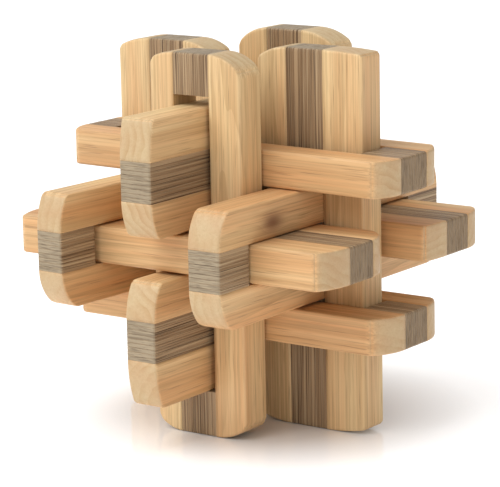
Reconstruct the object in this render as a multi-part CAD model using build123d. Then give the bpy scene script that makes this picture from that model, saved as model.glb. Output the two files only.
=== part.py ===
from build123d import *
import os
from typing import NamedTuple

# A burr puzzle of twelve flat boards, four along each axis, threaded through each other.
# Every board is a dark strip between two pale rails, and its windows are where the dark strip is left out.
# Origin: on the table, under the middle of the puzzle. +X right, +Y back, +Z up. Millimetres.

board_offset = 15.5     # from the middle of the puzzle to the middle of each board
middle_height = 37.6    # middle of the even grid above the table
seat_gap = 0.1          # under a board that rests on the lower end of an upright's window
edge_ease = 0.5         # rounding of the sanded long edges

axes = "XYZ"
side_words = {"X": ("left", "right"), "Y": ("front", "back"), "Z": ("lower", "upper")}


class Board(NamedTuple):
    """One hand-finished board, with its sizes and how it has settled in the loose assembly."""
    name: str
    run: str            # axis that the board's length follows
    kind: str           # "twin": two windows; "single": one window; "fork": one slot open at the back end
    side: int           # which side of the middle it lies on
    thickness: float
    widths: tuple       # of the rail on the low side, the dark strip and its windows, and the other rail
    half_length: float
    shift: tuple        # x, y, z from its place in an even grid
    slack: float        # room along the board at each end of its windows
    falls: tuple        # how far the corners of the low and high rail fall back: low end, then high end
    corner: float       # radius of those corners
    turn: tuple = (0.0, 0.0, 0.0)   # degrees about X, Y and Z that it lies askew in its windows


boards = [
    Board("upright_left", "Z", "single", -1, 7.2, (7.8, 8.4, 6.6), 37.35, (-1.7, -0.2, -0.25), 0.6,
          ((2.0, 1.8), (1.9, 2.2)), 0.9),
    Board("upright_right", "Z", "single", 1, 6.6, (6.8, 8.4, 9.0), 37.4, (0.0, 0.0, -0.2), 0.6,
          ((1.0, 1.1), (2.2, 0.5)), 0.8),
    Board("upright_front", "Z", "twin", -1, 7.2, (5.6, 8.4, 7.1), 37.4, (0.3, 0.0, -0.2), 1.1,
          ((2.4, 2.6), (1.4, 3.3)), 1.3),
    Board("upright_back", "Z", "twin", 1, 7.2, (7.1, 8.4, 7.5), 38.0, (0.3, 0.0, 0.4), 0.7,
          ((2.8, 3.0), (3.4, 2.7)), 1.0),
    Board("crossbar_front", "X", "single", -1, 7.3, (8.0, 7.8, 7.3), 37.4, (-1.1, 0.0, 0.0), 0.6,
          ((2.4, 3.0), (2.5, 5.2)), 1.0),
    Board("crossbar_back", "X", "single", 1, 7.1, (7.0, 7.8, 7.1), 37.7, (0.5, 0.0, -0.1), 0.6,
          ((2.2, 2.4), (0.6, 2.8)), 1.1),
    Board("crossbar_top", "X", "twin", 1, 7.1, (6.4, 9.0, 7.4), 37.9, (0.57, -0.6, -0.55), 0.6,
          ((2.6, 2.6), (2.7, 3.4)), 0.8, (0.0, 0.5, 0.0)),
    Board("crossbar_bottom", "X", "twin", -1, 7.1, (7.5, 7.8, 7.0), 37.8, (0.6, 0.0, 0.05), 0.6,
          ((2.6, 2.4), (3.2, 3.0)), 1.1),
    Board("runner_left", "Y", "twin", -1, 6.3, (7.3, 7.8, 7.2), 37.8, (-2.4, -0.61, 0.15), 1.5,
          ((3.9, 1.9), (2.8, 2.6)), 0.9, (0.0, 0.0, -3.0)),
    Board("runner_right", "Y", "twin", 1, 7.4, (7.5, 7.8, 7.2), 37.8, (0.4, 0.7, 0.0), 0.6,
          ((3.4, 2.8), (2.8, 2.6)), 1.1),
    Board("key_top", "Y", "fork", 1, 7.4, (7.0, 7.8, 8.0), 37.0, (0.0, 0.6, -0.4), 0.6,
          ((2.0, 1.1), (1.2, 1.4)), 0.8),
    Board("key_bottom", "Y", "fork", -1, 7.0, (9.1, 7.8, 7.3), 36.6, (-0.3, 0.8, 0.0), 0.6,
          ((1.8, 2.2), (1.6, 1.8)), 0.9),
]


def local_axes(board):
    """Indices of the axes that the board's length, width and thickness follow."""
    length = axes.index(board.run)
    return length, (length + 1) % 3, (length + 2) % 3


def centre(board):
    """Middle of the board's dark strip, measured from the middle of the puzzle."""
    length, width, thickness = local_axes(board)
    place = list(board.shift)
    place[thickness if board.kind == "twin" else width] += board.side * board_offset
    return place


def passes_through(board):
    """The boards that run through the windows of this one, from its low end to its high end."""
    run = axes[local_axes(board)[2]]
    others = [b for b in boards if b.run == run and (b.kind == "twin") != (board.kind == "twin")]
    if board.kind != "twin":
        others = [b for b in others if b.side == board.side]
    return sorted(others, key=lambda b: b.side)


def windows(board):
    """Low and high end of each window along the board, measured from the middle of the puzzle."""
    length = local_axes(board)[0]
    spans = []
    for other in passes_through(board):
        low_rail, dark, high_rail = other.widths
        low = centre(other)[length] - dark / 2 - low_rail
        high = centre(other)[length] + dark / 2 + high_rail
        if board.run == "Z":
            spans.append((low - seat_gap, high + 2 * board.slack - seat_gap))
        else:
            spans.append((low - board.slack, high + board.slack))
    return spans


def blocks(board):
    """Name, low end and high end of each dark block along the board."""
    middle = centre(board)[local_axes(board)[0]]
    ends = [middle - board.half_length]
    for span in windows(board):
        ends += span
    ends.append(middle + board.half_length)
    low_word, high_word = side_words[board.run]
    words = (low_word, "middle", high_word) if board.kind == "twin" else (low_word, high_word)
    found = list(zip(words, ends[0::2], ends[1::2]))
    return found[:1] if board.kind == "fork" else found


def outline(board):
    """Plan of a whole board: flat in the middle of each end, falling back in an arc over each rail."""
    half_dark = board.widths[1] / 2
    reach = board.half_length
    low_edge = -half_dark - board.widths[0]
    high_edge = half_dark + board.widths[2]
    (low_low, low_high), (high_low, high_high) = board.falls
    with BuildSketch() as plan:
        with BuildLine():
            Line((low_low - reach, low_edge), (reach - high_low, low_edge))
            TangentArc((reach, -half_dark), (reach - high_low, low_edge), tangent=(0, -1))
            Line((reach, -half_dark), (reach, half_dark))
            TangentArc((reach, half_dark), (reach - high_high, high_edge), tangent=(0, 1))
            Line((reach - high_high, high_edge), (low_high - reach, high_edge))
            TangentArc((-reach, half_dark), (low_high - reach, high_edge), tangent=(0, 1))
            Line((-reach, half_dark), (-reach, -half_dark))
            TangentArc((-reach, -half_dark), (low_low - reach, low_edge), tangent=(0, -1))
        make_face()
        corners = plan.vertices().filter_by(lambda v: abs(v.Y) > half_dark + 0.01)
        fillet(corners, board.corner)
    return plan.sketch


def solid_board(board):
    """The whole board with no windows, lying flat with its length along X."""
    body = extrude(outline(board), board.thickness / 2, both=True)
    flats = body.faces().filter_by(Axis.Z)
    return fillet(flats[0].edges() + flats[1].edges(), edge_ease)


def slab(low, high, left, right, thickness):
    """A block between two places along the board and two across it."""
    size = (high - low, right - left, 2 * thickness)
    return Pos((low + high) / 2, (left + right) / 2, 0) * Box(*size)


def seat(board):
    """Where a board that was made flat along X lies in the puzzle."""
    length, _, thickness = local_axes(board)
    directions = [Vector(1, 0, 0), Vector(0, 1, 0), Vector(0, 0, 1)]
    facing = Plane(origin=(0, 0, 0), x_dir=directions[length], z_dir=directions[thickness])
    x, y, z = centre(board)
    return Location((x, y, z + middle_height), board.turn) * facing.location


def glued_pieces(board):
    """Name and solid of each rail and block, in place in the puzzle."""
    length, width, _ = local_axes(board)
    middle = centre(board)[length]
    whole = solid_board(board)
    reach = board.half_length + 1
    low_rail, dark, high_rail = board.widths
    low_word, high_word = side_words[axes[width]]
    cuts = {
        low_word + "_rail": slab(-reach, reach, -dark / 2 - low_rail - 1, -dark / 2, board.thickness),
        high_word + "_rail": slab(-reach, reach, dark / 2, dark / 2 + high_rail + 1, board.thickness),
    }
    for word, low, high in blocks(board):
        cuts[word + "_block"] = slab(low - middle, high - middle, -dark / 2, dark / 2, board.thickness)
    return {f"{board.name}_{word}": seat(board) * (whole & cut) for word, cut in cuts.items()}


os.makedirs("parts", exist_ok=True)
for board in boards:
    for node, piece in glued_pieces(board).items():
        export_step(piece, f"parts/{node}.step")
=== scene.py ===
import math
import random

import bpy
from mathutils import Matrix, Vector


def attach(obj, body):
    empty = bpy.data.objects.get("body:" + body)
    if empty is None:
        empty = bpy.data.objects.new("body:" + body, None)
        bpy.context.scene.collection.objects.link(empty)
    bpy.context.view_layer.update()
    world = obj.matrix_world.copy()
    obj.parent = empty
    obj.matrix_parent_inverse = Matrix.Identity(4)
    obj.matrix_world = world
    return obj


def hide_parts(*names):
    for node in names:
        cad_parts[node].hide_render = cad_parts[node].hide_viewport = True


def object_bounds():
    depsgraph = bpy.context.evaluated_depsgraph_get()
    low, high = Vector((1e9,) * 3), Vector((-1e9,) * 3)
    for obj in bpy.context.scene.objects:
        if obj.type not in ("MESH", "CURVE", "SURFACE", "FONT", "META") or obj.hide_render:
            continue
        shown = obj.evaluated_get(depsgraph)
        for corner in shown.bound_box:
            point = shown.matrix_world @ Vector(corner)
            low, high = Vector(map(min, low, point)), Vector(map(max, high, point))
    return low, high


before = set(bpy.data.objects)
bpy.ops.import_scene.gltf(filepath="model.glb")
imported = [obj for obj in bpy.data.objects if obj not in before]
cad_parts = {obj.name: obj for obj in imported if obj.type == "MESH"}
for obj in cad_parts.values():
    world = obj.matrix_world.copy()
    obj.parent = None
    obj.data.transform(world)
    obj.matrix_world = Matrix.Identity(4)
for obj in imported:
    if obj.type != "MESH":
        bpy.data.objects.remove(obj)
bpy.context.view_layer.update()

# --------------------------------------------------------------------------------------------------
# The camera stands low, to the right of the puzzle's front, and a long way off, so the boards keep
# nearly their true proportions.
# --------------------------------------------------------------------------------------------------
low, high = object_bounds()
puzzle_middle = (low + high) / 2
round_from_front = math.radians(35.97)
tilt = math.radians(11.88)
roll = math.radians(-1.16)
camera_distance = 0.4915
lens_length, film_width = 178.6, 36
aim_below_middle = 0.0034
aim_left_of_middle = 0.00025

level = Vector((math.cos(round_from_front), math.sin(round_from_front), 0))
level_back = Vector((level.y, -level.x, 0))
back = level_back * math.cos(tilt) + Vector((0, 0, math.sin(tilt)))
upright = back.cross(level)
right = level * math.cos(roll) + upright * math.sin(roll)
up = upright * math.cos(roll) - level * math.sin(roll)

camera = bpy.data.objects.new("camera", bpy.data.cameras.new("camera"))
bpy.context.scene.collection.objects.link(camera)
bpy.context.scene.camera = camera
camera.data.sensor_width = film_width
camera.data.lens = lens_length
aim = puzzle_middle - up * aim_below_middle - right * aim_left_of_middle
facing = Matrix((right, up, back)).transposed().to_4x4()
camera.matrix_world = Matrix.Translation(aim + back * camera_distance) @ facing


# --------------------------------------------------------------------------------------------------
# Pale rails. Two run the whole length of every board, of a fine straight-grained pale wood, glued to the
# dark strip and sanded by hand, so the long edges are soft and each end falls back to a rounded corner.
# --------------------------------------------------------------------------------------------------
MM = 0.001
LONG_EDGE = 0.5 * MM
RAIL_WOBBLE = 0.04 * MM
SEED_SPREAD = 0.9

# For the low and then the high end of each board: how far the corners of its low and high rail fall back.
# Then the radius of those corners. All in millimetres.
BOARD_ENDS = {
    "upright_left": ((2.0, 1.8), (1.9, 2.2), 0.9),
    "upright_right": ((1.0, 1.1), (2.2, 0.5), 0.8),
    "upright_front": ((2.4, 2.6), (1.4, 3.3), 1.3),
    "upright_back": ((2.8, 3.0), (3.4, 2.7), 1.0),
    "crossbar_front": ((2.4, 3.0), (2.5, 5.2), 1.0),
    "crossbar_back": ((2.2, 2.4), (0.6, 2.8), 1.1),
    "crossbar_top": ((2.6, 2.6), (2.7, 3.4), 0.8),
    "crossbar_bottom": ((2.6, 2.4), (3.2, 3.0), 1.1),
    "runner_left": ((3.9, 1.9), (2.8, 2.6), 0.9),
    "runner_right": ((3.4, 2.8), (2.8, 2.6), 1.1),
    "key_top": ((2.0, 1.1), (1.2, 1.4), 0.8),
    "key_bottom": ((1.8, 2.2), (1.6, 1.8), 0.9),
}
RUN_AXIS = {"crossbar": 0, "runner": 1, "key": 1, "upright": 2}

# Two boards lie askew in their windows: the axis they are turned about, and by how many degrees.
BOARD_TURNS = {"crossbar_top": ("Y", 0.5), "runner_left": ("Z", -3.0)}
LOW_SIDES = ("left", "front", "lower")

# How brown a board's wood is, from 0, cream, to 1, pinkish brown, and how far its rails may be from that.
BOARD_WARMTH = {"upright": 0.20, "crossbar": 0.80, "runner": 0.70, "key": 0.50}
WARMTH_SPREAD = 0.18

# A knot: how far along its board and out from the dark strip its middle is.
KNOTS = {"runner_right_upper_rail": (-20.9 * MM, 2.9 * MM)}
NO_KNOT = (1.0, 1.0)


def add_node(tree, kind, inputs=None, **settings):
    """A node with its settings made and its sockets linked or set."""
    node = tree.nodes.new(kind)
    for name, value in settings.items():
        setattr(node, name, value)
    for socket, value in (inputs or {}).items():
        if isinstance(value, bpy.types.NodeSocket):
            tree.links.new(value, node.inputs[socket])
        else:
            node.inputs[socket].default_value = value
    return node


def calculate(tree, operation, *values):
    """A number worked out from other numbers."""
    return add_node(tree, "ShaderNodeMath", dict(enumerate(values)), operation=operation).outputs[0]


def calculate_vector(tree, operation, *values):
    """A vector worked out from other vectors."""
    return add_node(tree, "ShaderNodeVectorMath", dict(enumerate(values)), operation=operation).outputs[0]


def times(tree, value, factor):
    return calculate(tree, "MULTIPLY", value, factor)


def scaled(tree, vector, factor):
    return add_node(tree, "ShaderNodeVectorMath", {0: vector, "Scale": factor}, operation="SCALE").outputs[0]


def length_of(tree, vector):
    return add_node(tree, "ShaderNodeVectorMath", {0: vector}, operation="LENGTH").outputs["Value"]


def crowded(tree, place, half_size):
    """An even place from -1 to 1 moved so that places crowd towards both ends of a size."""
    return times(tree, half_size, calculate(tree, "SINE", times(tree, place, math.pi / 2)))


def combine(tree, x, y, z):
    return add_node(tree, "ShaderNodeCombineXYZ", {0: x, 1: y, 2: z}).outputs[0]


def separate(tree, vector):
    return add_node(tree, "ShaderNodeSeparateXYZ", {0: vector}).outputs


def new_geometry_tree(name, numbers):
    """An empty Geometry Nodes tree with named number inputs, and its input and output nodes."""
    tree = bpy.data.node_groups.new(name, "GeometryNodeTree")
    tree.interface.new_socket("Geometry", in_out="OUTPUT", socket_type="NodeSocketGeometry")
    for number in numbers:
        tree.interface.new_socket(number, in_out="INPUT", socket_type="NodeSocketFloat")
    given = tree.nodes.new("NodeGroupInput").outputs
    return tree, given, tree.nodes.new("NodeGroupOutput")


def round_edges(tree, point, lowest, highest):
    """Moves a point outside an inner box so that the square edges around that box turn round.
    Also gives how far into a rounded edge the point lies, from 0 to about 0.3."""
    inner = calculate_vector(tree, "MAXIMUM", calculate_vector(tree, "MINIMUM", point, highest), lowest)
    over = calculate_vector(tree, "SUBTRACT", point, inner)
    x, y, z = separate(tree, calculate_vector(tree, "ABSOLUTE", over))
    longest = calculate(tree, "MAXIMUM", calculate(tree, "MAXIMUM", x, y), z)
    length = length_of(tree, over)
    share = calculate(tree, "DIVIDE", longest, calculate(tree, "MAXIMUM", length, 1e-7))
    share = calculate(tree, "MAXIMUM", share, calculate(tree, "LESS_THAN", length, 1e-6))
    moved = calculate_vector(tree, "ADD", inner, scaled(tree, over, share))
    return moved, calculate(tree, "SUBTRACT", 1.0, share)


def store(tree, geometry, name, value, data_type="FLOAT", domain="POINT"):
    """The geometry with a named value kept on it for the material."""
    inputs = {"Geometry": geometry, "Name": name, "Value": value}
    node = add_node(tree, "GeometryNodeStoreNamedAttribute", inputs, data_type=data_type, domain=domain)
    return node.outputs["Geometry"]


def make_rail_tree(material):
    """A rail along X from its middle, its glued side at Y = 0 and its outer edge at Y = Width."""
    names = ("Length", "Width", "Thickness", "Low drop", "High drop", "Corner", "Ease", "Wobble", "Seed",
             "Pith across", "Pith deep", "Pith lean", "Knot along", "Knot across", "Warmth")
    tree, given, output = new_geometry_tree("pale_rail", names)
    half_length = calculate(tree, "MULTIPLY", given["Length"], 0.5)
    half_thickness = calculate(tree, "MULTIPLY", given["Thickness"], 0.5)
    fineness = {"Vertices X": 73, "Vertices Y": 17, "Vertices Z": 17}
    cube = add_node(tree, "GeometryNodeMeshCube", {"Size": (2, 2, 2), **fineness})
    x, y, z = separate(tree, add_node(tree, "GeometryNodeInputPosition").outputs[0])
    x = crowded(tree, x, half_length)
    y = crowded(tree, calculate(tree, "MULTIPLY_ADD", y, 0.5, 0.5), given["Width"])
    z = crowded(tree, z, half_thickness)

    far = 10.0
    inner_x = calculate(tree, "SUBTRACT", half_length, given["Ease"])
    inner_y = calculate(tree, "SUBTRACT", given["Width"], given["Ease"])
    inner_z = calculate(tree, "SUBTRACT", half_thickness, given["Ease"])
    highest = combine(tree, inner_x, inner_y, inner_z)
    lowest = combine(tree, times(tree, inner_x, -1.0), -far, times(tree, inner_z, -1.0))
    point, edge = round_edges(tree, combine(tree, x, y, z), lowest, highest)

    inner_x = calculate(tree, "SUBTRACT", half_length, given["Corner"])
    inner_y = calculate(tree, "SUBTRACT", given["Width"], given["Corner"])
    highest = combine(tree, inner_x, inner_y, far)
    lowest = combine(tree, calculate(tree, "MULTIPLY", inner_x, -1.0), -far, -far)
    point, _ = round_edges(tree, point, lowest, highest)

    x, y, z = separate(tree, point)
    at_high_end = calculate(tree, "GREATER_THAN", x, 0.0)
    drop_change = calculate(tree, "SUBTRACT", given["High drop"], given["Low drop"])
    drop = calculate(tree, "MULTIPLY_ADD", at_high_end, drop_change, given["Low drop"])
    width_squared = calculate(tree, "MULTIPLY", given["Width"], given["Width"])
    chord = calculate(tree, "MULTIPLY_ADD", drop, drop, width_squared)
    radius = calculate(tree, "DIVIDE", chord, calculate(tree, "MULTIPLY", drop, 2.0))
    radius_squared = calculate(tree, "MULTIPLY", radius, radius)
    across_squared = calculate(tree, "MULTIPLY", y, y)
    reach = calculate(tree, "SQRT", calculate(tree, "SUBTRACT", radius_squared, across_squared))
    sag = calculate(tree, "DIVIDE", calculate(tree, "SUBTRACT", radius, reach), half_length)
    x = calculate(tree, "MULTIPLY", x, calculate(tree, "SUBTRACT", 1.0, sag))
    point = combine(tree, x, y, z)
    shaped = add_node(tree, "GeometryNodeSetPosition", {"Geometry": cube.outputs["Mesh"], "Position": point})

    position = add_node(tree, "GeometryNodeInputPosition").outputs[0]
    x, y, z = separate(tree, position)
    seed_shift = calculate(tree, "MULTIPLY", given["Seed"], SEED_SPREAD)
    grain = calculate_vector(tree, "ADD", position, combine(tree, seed_shift, seed_shift, 0.0))
    noise = add_node(tree, "ShaderNodeTexNoise", {"Vector": grain, "Scale": 70.0, "Detail": 2.0}).outputs[0]
    swell = calculate(tree, "MULTIPLY", calculate(tree, "SUBTRACT", noise, 0.5), given["Wobble"])
    normal = add_node(tree, "GeometryNodeInputNormal").outputs[0]
    offset = scaled(tree, normal, swell)

    leaning = calculate(tree, "MULTIPLY_ADD", x, given["Pith lean"], given["Pith across"])
    from_pith = combine(tree, 0.0, calculate(tree, "SUBTRACT", y, leaning),
                        calculate(tree, "SUBTRACT", z, given["Pith deep"]))
    ring = length_of(tree, from_pith)
    from_knot = combine(tree, calculate(tree, "SUBTRACT", x, given["Knot along"]),
                        calculate(tree, "SUBTRACT", y, given["Knot across"]), 0.0)
    shape = store(tree, shaped.outputs[0], "grain", grain, "FLOAT_VECTOR")
    shape = store(tree, shape, "from_knot", from_knot, "FLOAT_VECTOR")
    shape = store(tree, shape, "ring", ring)
    shape = store(tree, shape, "warmth", given["Warmth"])
    shape = store(tree, shape, "edge", calculate(tree, "MULTIPLY", edge, 3.0))
    shape = store(tree, shape, "end_face", calculate(tree, "ABSOLUTE", separate(tree, normal)[0]))
    shape = add_node(tree, "GeometryNodeSetPosition", {"Geometry": shape, "Offset": offset}).outputs[0]
    shape = add_node(tree, "GeometryNodeSetShadeSmooth", {"Geometry": shape}).outputs[0]
    shape = add_node(tree, "GeometryNodeRealizeInstances", {"Geometry": shape}).outputs[0]
    shape = add_node(tree, "GeometryNodeSetMaterial", {"Geometry": shape, "Material": material}).outputs[0]
    tree.links.new(shape, output.inputs[0])
    return tree


def grow(name, tree, numbers):
    """A plain mesh object made by a Geometry Nodes tree."""
    maker = bpy.data.objects.new(name + "_maker", bpy.data.meshes.new(name + "_maker"))
    bpy.context.scene.collection.objects.link(maker)
    modifier = maker.modifiers.new("maker", "NODES")
    modifier.node_group = tree
    for socket in tree.interface.items_tree:
        if socket.in_out == "INPUT":
            modifier[socket.identifier] = float(numbers[socket.name])
    evaluated = maker.evaluated_get(bpy.context.evaluated_depsgraph_get())
    mesh = bpy.data.meshes.new_from_object(evaluated)
    mesh.name = name
    bpy.data.objects.remove(maker)
    piece = bpy.data.objects.new(name, mesh)
    bpy.context.scene.collection.objects.link(piece)
    return piece


def board_of(node):
    """The board that a CAD node belongs to, and the axis that the board runs along."""
    board = next(name for name in BOARD_ENDS if node.startswith(name))
    return board, RUN_AXIS[board.split("_")[0]]


def board_turn(board):
    """How a board is turned in its windows."""
    axis, degrees = BOARD_TURNS.get(board, ("Z", 0.0))
    return Matrix.Rotation(math.radians(degrees), 4, axis)


def straight_box(node, turn):
    """Lowest and highest corners of a CAD node, measured along its own board."""
    back_turned = turn.inverted()
    places = [back_turned @ vertex.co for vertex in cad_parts[node].data.vertices]
    lowest = Vector([min(place[axis] for place in places) for axis in range(3)])
    highest = Vector([max(place[axis] for place in places) for axis in range(3)])
    return lowest, highest


def seat(piece, run, middle, turn, flipped=False):
    """Lays a piece made along X where it belongs in its board, with its place in its mesh."""
    width, thickness = (run + 1) % 3, (run + 2) % 3
    sign = -1 if flipped else 1
    turned = Matrix.Diagonal((0, 0, 0, 1))
    turned[run][0] = sign
    turned[width][1] = sign
    turned[thickness][2] = 1
    for axis in range(3):
        turned[axis][3] = middle[axis]
    piece.data.transform(turn @ turned)


def streaks(tree, coordinates, scales, detail):
    """Noise from 0 to 1, drawn out along the grain, with its fineness per metre along each axis."""
    stretched = calculate_vector(tree, "MULTIPLY", coordinates, scales)
    inputs = {"Vector": stretched, "Scale": 1.0, "Detail": detail, "Roughness": 0.6}
    return add_node(tree, "ShaderNodeTexNoise", inputs).outputs[0]


def between(tree, value, low_value, high_value):
    """A number stretched so that low_value becomes 0 and high_value becomes 1, held between them."""
    node = add_node(tree, "ShaderNodeMapRange", {0: value, 1: low_value, 2: high_value, 3: 0.0, 4: 1.0})
    return node.outputs[0]


def mix_colours(tree, share, first, second, blend="MIX"):
    """Two colours mixed by a share from 0 to 1."""
    node = add_node(tree, "ShaderNodeMix", None, data_type="RGBA", blend_type=blend)
    for socket, value in (("Factor_Float", share), ("A_Color", first), ("B_Color", second)):
        target = next(s for s in node.inputs if s.identifier == socket)
        if isinstance(value, bpy.types.NodeSocket):
            tree.links.new(value, target)
        elif socket == "Factor_Float":
            target.default_value = value
        else:
            target.default_value = (*value, 1)
    return next(s for s in node.outputs if s.identifier == "Result_Color")


def new_material(name):
    material = bpy.data.materials.new(name)
    material.use_nodes = True
    tree = material.node_tree
    return material, tree, tree.nodes["Principled BSDF"]


def read(tree, name, output="Fac"):
    """A named value that the piece carries."""
    return add_node(tree, "ShaderNodeAttribute", attribute_name=name).outputs[output]


def make_pale_wood():
    """Pale wood, cream to pinkish brown, with growth rings, fine fibres, pores and paler edges, partly
    rubbed wear and partly painted highlight.
    """
    cream, brown = (0.79, 0.585, 0.310), (0.69, 0.365, 0.155)
    late_wood, fibre_brown, pore_brown = (0.44, 0.25, 0.095), (0.39, 0.225, 0.095), (0.22, 0.11, 0.045)
    end_grain, worn_and_highlit_edge, knot_brown = (0.45, 0.345, 0.205), (0.80, 0.63, 0.39), (0.16, 0.055, 0.020)
    late_strength, fibre_strength, pore_strength = 0.55, 0.50, 0.42
    end_strength, speckle_strength, knot_strength, edge_wear_and_highlight_strength = 0.65, 0.20, 0.85, 0.30
    ring_pitch, ring_wander, knot_size, knot_bulge = 1.9 * MM, 4.5 * MM, 1.3 * MM, 1.6 * MM
    material, tree, shader = new_material("pale_wood")
    grain = read(tree, "grain", "Vector")

    knot_place = calculate_vector(tree, "MULTIPLY", read(tree, "from_knot", "Vector"), (0.55, 1.0, 0.0))
    from_knot = calculate(tree, "DIVIDE", length_of(tree, knot_place), knot_size)
    from_knot_squared = calculate(tree, "MULTIPLY", from_knot, from_knot)
    near_knot = calculate(tree, "EXPONENT", times(tree, from_knot_squared, -0.5))

    wander = calculate(tree, "SUBTRACT", streaks(tree, grain, (16, 110, 110), 2.0), 0.5)
    ring = calculate(tree, "MULTIPLY_ADD", wander, ring_wander, read(tree, "ring"))
    ring = calculate(tree, "MULTIPLY_ADD", near_knot, knot_bulge, ring)
    ring_step = calculate(tree, "FRACT", calculate(tree, "DIVIDE", ring, ring_pitch))
    ring_depth = between(tree, streaks(tree, grain, (6, 190, 190), 2.0), 0.35, 0.65)
    late = calculate(tree, "MULTIPLY", between(tree, ring_step, 0.35, 0.95), ring_depth)

    bands = calculate(tree, "SUBTRACT", streaks(tree, grain, (9, 190, 190), 3.0), 0.5)
    warmth = calculate(tree, "MULTIPLY_ADD", bands, 2.3, read(tree, "warmth"))
    colour = mix_colours(tree, between(tree, warmth, 0.0, 1.0), cream, brown)
    cut_across = between(tree, read(tree, "end_face"), 0.45, 0.9)
    colour = mix_colours(tree, times(tree, cut_across, end_strength), colour, end_grain)
    colour = mix_colours(tree, times(tree, late, late_strength), colour, late_wood)
    fibres = streaks(tree, grain, (20, 2500, 2500), 5.0)
    along = calculate(tree, "MULTIPLY_ADD", cut_across, -0.7, 1.0)
    fibre_share = calculate(tree, "MULTIPLY", between(tree, fibres, 0.42, 0.66), along)
    colour = mix_colours(tree, times(tree, fibre_share, fibre_strength), colour, fibre_brown)
    pores = between(tree, streaks(tree, grain, (110, 3300, 3300), 1.0), 0.60, 0.74)
    pore_share = calculate(tree, "MULTIPLY", pores, along)
    colour = mix_colours(tree, times(tree, pore_share, pore_strength), colour, pore_brown)

    speckle = between(tree, streaks(tree, grain, (900, 1900, 1900), 3.0), 0.48, 0.72)
    speckle_share = times(tree, calculate(tree, "MULTIPLY", speckle, cut_across), speckle_strength)
    colour = mix_colours(tree, speckle_share, colour, fibre_brown)
    colour = mix_colours(tree, times(tree, near_knot, knot_strength), colour, knot_brown)
    # Every eased edge is made paler: partly rubbed wear, partly a painted highlight.
    edge_wear_and_highlight = times(tree, between(tree, read(tree, "edge"), 0.1, 0.7), edge_wear_and_highlight_strength)
    colour = mix_colours(tree, edge_wear_and_highlight, colour, worn_and_highlit_edge)
    tree.links.new(colour, shader.inputs["Base Color"])
    rough = calculate(tree, "MULTIPLY_ADD", fibres, 0.25, 0.40)
    tree.links.new(rough, shader.inputs["Roughness"])
    height = calculate(tree, "SUBTRACT", times(tree, fibres, 0.6), pores)
    bump = add_node(tree, "ShaderNodeBump", {"Height": height, "Strength": 0.4, "Distance": 0.07 * MM})
    tree.links.new(bump.outputs[0], shader.inputs["Normal"])
    shader.inputs["Specular IOR Level"].default_value = 0.45
    return material


pale_wood = make_pale_wood()
rail_tree = make_rail_tree(pale_wood)
draw = random.Random(12)

for node in sorted(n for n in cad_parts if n.endswith("_rail")):
    board, run = board_of(node)
    turn = board_turn(board)
    lowest, highest = straight_box(node, turn)
    size = highest - lowest
    middle = (lowest + highest) / 2
    width_axis = (run + 1) % 3
    on_low_side = node.split("_")[-2] in LOW_SIDES
    low_end, high_end, corner = BOARD_ENDS[board]
    low_drop, high_drop = (low_end[0], high_end[0]) if on_low_side else (low_end[1], high_end[1])
    if on_low_side:
        low_drop, high_drop = high_drop, low_drop
    middle[width_axis] = highest[width_axis] if on_low_side else lowest[width_axis]
    knot = KNOTS.get(node, NO_KNOT)
    piece = grow(node + "_wood", rail_tree, {
        "Length": size[run],
        "Width": size[width_axis],
        "Thickness": size[(run + 2) % 3],
        "Low drop": low_drop * MM,
        "High drop": high_drop * MM,
        "Corner": corner * MM,
        "Ease": LONG_EDGE,
        "Wobble": RAIL_WOBBLE,
        "Seed": draw.randint(1, 40),
        "Pith across": draw.uniform(-16, 16) * MM,
        "Pith deep": draw.choice((-1, 1)) * draw.uniform(7, 22) * MM,
        "Pith lean": draw.uniform(-0.10, 0.10),
        "Knot along": knot[0],
        "Knot across": knot[1],
        "Warmth": BOARD_WARMTH[board.split("_")[0]] + draw.uniform(-WARMTH_SPREAD, WARMTH_SPREAD),
    })
    seat(piece, run, middle, turn, on_low_side)
    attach(piece, board)
    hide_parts(node)


# --------------------------------------------------------------------------------------------------
# Dark blocks. Each is made as a stack of thin dark veneers, glued face to face and sanded flush with the
# rails, so the edges of the sheets show as fine lines along the board and across its ends.
# --------------------------------------------------------------------------------------------------
VENEERS = 9
GLUE_GROOVE = 0.07 * MM
GROOVE_WIDTH = 0.06 * MM
SHEET_STEP = 0.03 * MM
SHARP_EDGE = 0.05 * MM
END_TOLERANCE = 0.01 * MM

# How grey the cut ends of a board's veneers are, from 0, brown, to 1.
BLOCK_GREYNESS = {"upright": 0.7, "crossbar": 0.1, "runner": 0.9, "key": 0.9}


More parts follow.
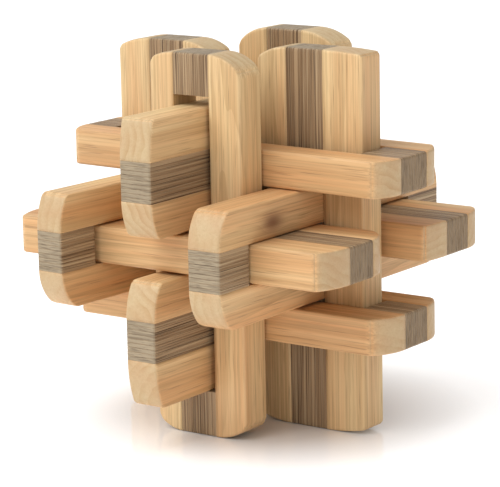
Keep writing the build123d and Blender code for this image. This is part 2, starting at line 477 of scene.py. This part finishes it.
def make_stack_tree(material):
    """A stack of sheets along X from its middle, each on edge, side by side from Y = 0 to Y = Width."""
    names = ("Length", "Width", "Thickness", "Low ease", "High ease",
             "Veneers", "Groove", "Groove width", "Step", "Seed", "Greyness")
    tree, given, output = new_geometry_tree("veneer_stack", names)
    half_length = calculate(tree, "MULTIPLY", given["Length"], 0.5)
    half_thickness = calculate(tree, "MULTIPLY", given["Thickness"], 0.5)
    pitch = calculate(tree, "DIVIDE", given["Width"], given["Veneers"])
    half_pitch = calculate(tree, "MULTIPLY", pitch, 0.5)
    fineness = {"Vertices X": 19, "Vertices Y": 4, "Vertices Z": 13}
    cube = add_node(tree, "GeometryNodeMeshCube", {"Size": (2, 2, 2), **fineness})
    x, y, z = separate(tree, add_node(tree, "GeometryNodeInputPosition").outputs[0])
    x = crowded(tree, x, half_length)
    z = crowded(tree, z, half_thickness)
    at_face = calculate(tree, "GREATER_THAN", calculate(tree, "ABSOLUTE", y), 0.5)
    inside = calculate(tree, "SUBTRACT", half_pitch, given["Groove width"])
    half_width = calculate(tree, "MULTIPLY_ADD", at_face, given["Groove width"], inside)
    y = calculate(tree, "MULTIPLY", calculate(tree, "SIGN", y), half_width)

    at_high_end = calculate(tree, "GREATER_THAN", x, 0.0)
    ease_change = calculate(tree, "SUBTRACT", given["High ease"], given["Low ease"])
    ease = calculate(tree, "MULTIPLY_ADD", at_high_end, ease_change, given["Low ease"])
    far = 10.0
    inner_x = calculate(tree, "SUBTRACT", half_length, ease)
    inner_z = calculate(tree, "SUBTRACT", half_thickness, ease)
    highest = combine(tree, inner_x, far, inner_z)
    lowest = combine(tree, times(tree, inner_x, -1.0), -far, times(tree, inner_z, -1.0))
    point, _ = round_edges(tree, combine(tree, x, y, z), lowest, highest)
    x, y, z = separate(tree, point)
    recess = calculate(tree, "MULTIPLY", at_face, given["Groove"])
    shorter = calculate(tree, "SUBTRACT", 1.0, calculate(tree, "DIVIDE", recess, half_length))
    thinner = calculate(tree, "SUBTRACT", 1.0, calculate(tree, "DIVIDE", recess, half_thickness))
    point = combine(tree, times(tree, x, shorter), y, times(tree, z, thinner))
    sheet = {"Geometry": cube.outputs["Mesh"], "Position": point}
    sheet = add_node(tree, "GeometryNodeSetPosition", sheet).outputs[0]
    sheet = store(tree, sheet, "seam", at_face)
    flat = {"Geometry": sheet, "Shade Smooth": False}
    sheet = add_node(tree, "GeometryNodeSetShadeSmooth", flat).outputs[0]

    count = add_node(tree, "FunctionNodeFloatToInt", {0: given["Veneers"]}).outputs[0]
    start, step = combine(tree, 0.0, half_pitch, 0.0), combine(tree, 0.0, pitch, 0.0)
    places = {"Count": count, "Start Location": start, "Offset": step}
    line = add_node(tree, "GeometryNodeMeshLine", places, mode="OFFSET")
    seed = add_node(tree, "FunctionNodeFloatToInt", {0: given["Seed"]}).outputs[0]
    least = calculate(tree, "SUBTRACT", 1.0, calculate(tree, "DIVIDE", given["Step"], half_thickness))
    limits = {"Min": least, "Max": 1.0, "Seed": seed}
    height = add_node(tree, "FunctionNodeRandomValue", limits, data_type="FLOAT").outputs[1]
    sheets = {"Points": line.outputs[0], "Instance": sheet, "Scale": combine(tree, 1.0, 1.0, height)}
    sheets = add_node(tree, "GeometryNodeInstanceOnPoints", sheets).outputs[0]
    tone_seed = {"Seed": calculate(tree, "ADD", seed, 7.0)}
    tone = add_node(tree, "FunctionNodeRandomValue", tone_seed, data_type="FLOAT").outputs[1]
    sheets = store(tree, sheets, "tone", tone, domain="INSTANCE")
    stack = add_node(tree, "GeometryNodeRealizeInstances", {"Geometry": sheets}).outputs[0]
    seed_shift = calculate(tree, "MULTIPLY", given["Seed"], SEED_SPREAD)
    position = add_node(tree, "GeometryNodeInputPosition").outputs[0]
    grain = calculate_vector(tree, "ADD", position, combine(tree, seed_shift, seed_shift, 0.0))
    stack = store(tree, stack, "grain", grain, "FLOAT_VECTOR")
    stack = store(tree, stack, "greyness", given["Greyness"])
    normal = add_node(tree, "GeometryNodeInputNormal").outputs[0]
    stack = store(tree, stack, "end_face", calculate(tree, "ABSOLUTE", separate(tree, normal)[0]))
    stack = add_node(tree, "GeometryNodeSetMaterial", {"Geometry": stack, "Material": material}).outputs[0]
    tree.links.new(stack, output.inputs[0])
    return tree


def make_dark_veneer():
    """Dark grey-brown veneer, every sheet a tone of its own, with fine lines and greyer cut ends."""
    dark_sheet, light_sheet = (0.20, 0.118, 0.058), (0.38, 0.252, 0.140)
    pale_line, dark_line, glue = (0.58, 0.44, 0.27), (0.060, 0.031, 0.015), (0.08, 0.045, 0.022)
    brown_end, grey_end, cut_line = (0.22, 0.140, 0.068), (0.37, 0.305, 0.210), (0.14, 0.100, 0.060)
    material, tree, shader = new_material("dark_veneer")
    grain = read(tree, "grain", "Vector")
    colour = mix_colours(tree, read(tree, "tone"), dark_sheet, light_sheet)
    cloud = between(tree, streaks(tree, grain, (30, 420, 160), 2.0), 0.35, 0.68)
    colour = mix_colours(tree, times(tree, cloud, 0.40), colour, light_sheet)
    pale_share = between(tree, streaks(tree, grain, (22, 3300, 300), 3.0), 0.48, 0.66)
    colour = mix_colours(tree, times(tree, pale_share, 0.60), colour, pale_line)
    cut_across = between(tree, read(tree, "end_face"), 0.45, 0.9)
    cut_end = mix_colours(tree, read(tree, "greyness"), brown_end, grey_end)
    colour = mix_colours(tree, times(tree, cut_across, 0.78), colour, cut_end)
    lines = between(tree, streaks(tree, grain, (30, 3900, 360), 2.0), 0.53, 0.66)
    line_share = calculate(tree, "MULTIPLY_ADD", cut_across, -0.45, 0.80)
    colour = mix_colours(tree, calculate(tree, "MULTIPLY", lines, line_share), colour, dark_line)
    cut_lines = between(tree, streaks(tree, grain, (300, 2100, 200), 2.0), 0.50, 0.66)
    cut_share = times(tree, calculate(tree, "MULTIPLY", cut_lines, cut_across), 0.45)
    colour = mix_colours(tree, cut_share, colour, cut_line)
    seam = times(tree, between(tree, read(tree, "seam"), 0.4, 1.0), 0.55)
    colour = mix_colours(tree, seam, colour, glue)
    tree.links.new(colour, shader.inputs["Base Color"])
    tree.links.new(calculate(tree, "MULTIPLY_ADD", lines, 0.2, 0.45), shader.inputs["Roughness"])
    height = calculate(tree, "SUBTRACT", times(tree, pale_share, 0.5), lines)
    bump = add_node(tree, "ShaderNodeBump", {"Height": height, "Strength": 0.5, "Distance": 0.08 * MM})
    tree.links.new(bump.outputs[0], shader.inputs["Normal"])
    shader.inputs["Specular IOR Level"].default_value = 0.3
    return material


dark_veneer = make_dark_veneer()
stack_tree = make_stack_tree(dark_veneer)
board_reach = {}
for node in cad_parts:
    board, run = board_of(node)
    lowest, highest = straight_box(node, board_turn(board))
    reach = board_reach.setdefault(board, [lowest[run], highest[run]])
    board_reach[board] = [min(reach[0], lowest[run]), max(reach[1], highest[run])]

for node in sorted(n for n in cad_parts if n.endswith("_block")):
    board, run = board_of(node)
    turn = board_turn(board)
    lowest, highest = straight_box(node, turn)
    size = highest - lowest
    middle = (lowest + highest) / 2
    width_axis = (run + 1) % 3
    middle[width_axis] = lowest[width_axis]
    at_low_end = lowest[run] - board_reach[board][0] < END_TOLERANCE
    at_high_end = board_reach[board][1] - highest[run] < END_TOLERANCE
    piece = grow(node + "_veneers", stack_tree, {
        "Length": size[run],
        "Width": size[width_axis],
        "Thickness": size[(run + 2) % 3],
        "Low ease": LONG_EDGE if at_low_end else SHARP_EDGE,
        "High ease": LONG_EDGE if at_high_end else SHARP_EDGE,
        "Veneers": VENEERS,
        "Groove": GLUE_GROOVE,
        "Groove width": GROOVE_WIDTH,
        "Step": SHEET_STEP,
        "Seed": draw.randint(1, 40),
        "Greyness": BLOCK_GREYNESS[board.split("_")[0]],
    })
    seat(piece, run, middle, turn)
    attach(piece, board)
    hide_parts(node)


# --------------------------------------------------------------------------------------------------
# The puzzle stands on a white glossy sheet that reflects it and, from a few centimetres out, is lit from
# within, in an even white room, with one large soft light high up in front on the left.
# --------------------------------------------------------------------------------------------------
FLOOR_SIZE = 6.0
FLOOR_GLOW = 0.40
GLOW_STARTS, GLOW_FULL = 0.022, 0.046
ROOM_BRIGHTNESS = 0.66
SUN_DIRECTION = Vector((-0.34, -0.52, 0.78))
SUN_BRIGHTNESS = 2.25
SUN_SOFTNESS = math.radians(60)

half_floor = FLOOR_SIZE / 2
floor_mesh = bpy.data.meshes.new("floor")
floor_corners = [(x * half_floor, y * half_floor, 0) for x, y in ((-1, -1), (1, -1), (1, 1), (-1, 1))]
floor_mesh.from_pydata(floor_corners, [], [(0, 1, 2, 3)])
floor = bpy.data.objects.new("floor", floor_mesh)
bpy.context.scene.collection.objects.link(floor)
floor_finish, floor_nodes, floor_shader = new_material("white_floor")
floor_shader.inputs["Base Color"].default_value = (0.90, 0.90, 0.90, 1)
floor_shader.inputs["Roughness"].default_value = 0.065
floor_shader.inputs["Emission Color"].default_value = (1, 1, 1, 1)
floor_place = add_node(floor_nodes, "ShaderNodeTexCoord").outputs["Object"]
floor_rim = between(floor_nodes, length_of(floor_nodes, floor_place), GLOW_STARTS, GLOW_FULL)
floor_nodes.links.new(times(floor_nodes, floor_rim, FLOOR_GLOW), floor_shader.inputs["Emission Strength"])
floor_mesh.materials.append(floor_finish)

world = bpy.data.worlds.new("room")
bpy.context.scene.world = world
world.use_nodes = True
world.node_tree.nodes["Background"].inputs["Color"].default_value = (1, 1, 1, 1)
world.node_tree.nodes["Background"].inputs["Strength"].default_value = ROOM_BRIGHTNESS

sun = bpy.data.objects.new("sun", bpy.data.lights.new("sun", "SUN"))
sun.data.energy = SUN_BRIGHTNESS
sun.data.angle = SUN_SOFTNESS
sun.rotation_euler = SUN_DIRECTION.to_track_quat("Z", "Y").to_euler()
bpy.context.scene.collection.objects.link(sun)
bpy.context.scene.view_settings.view_transform = "Standard"
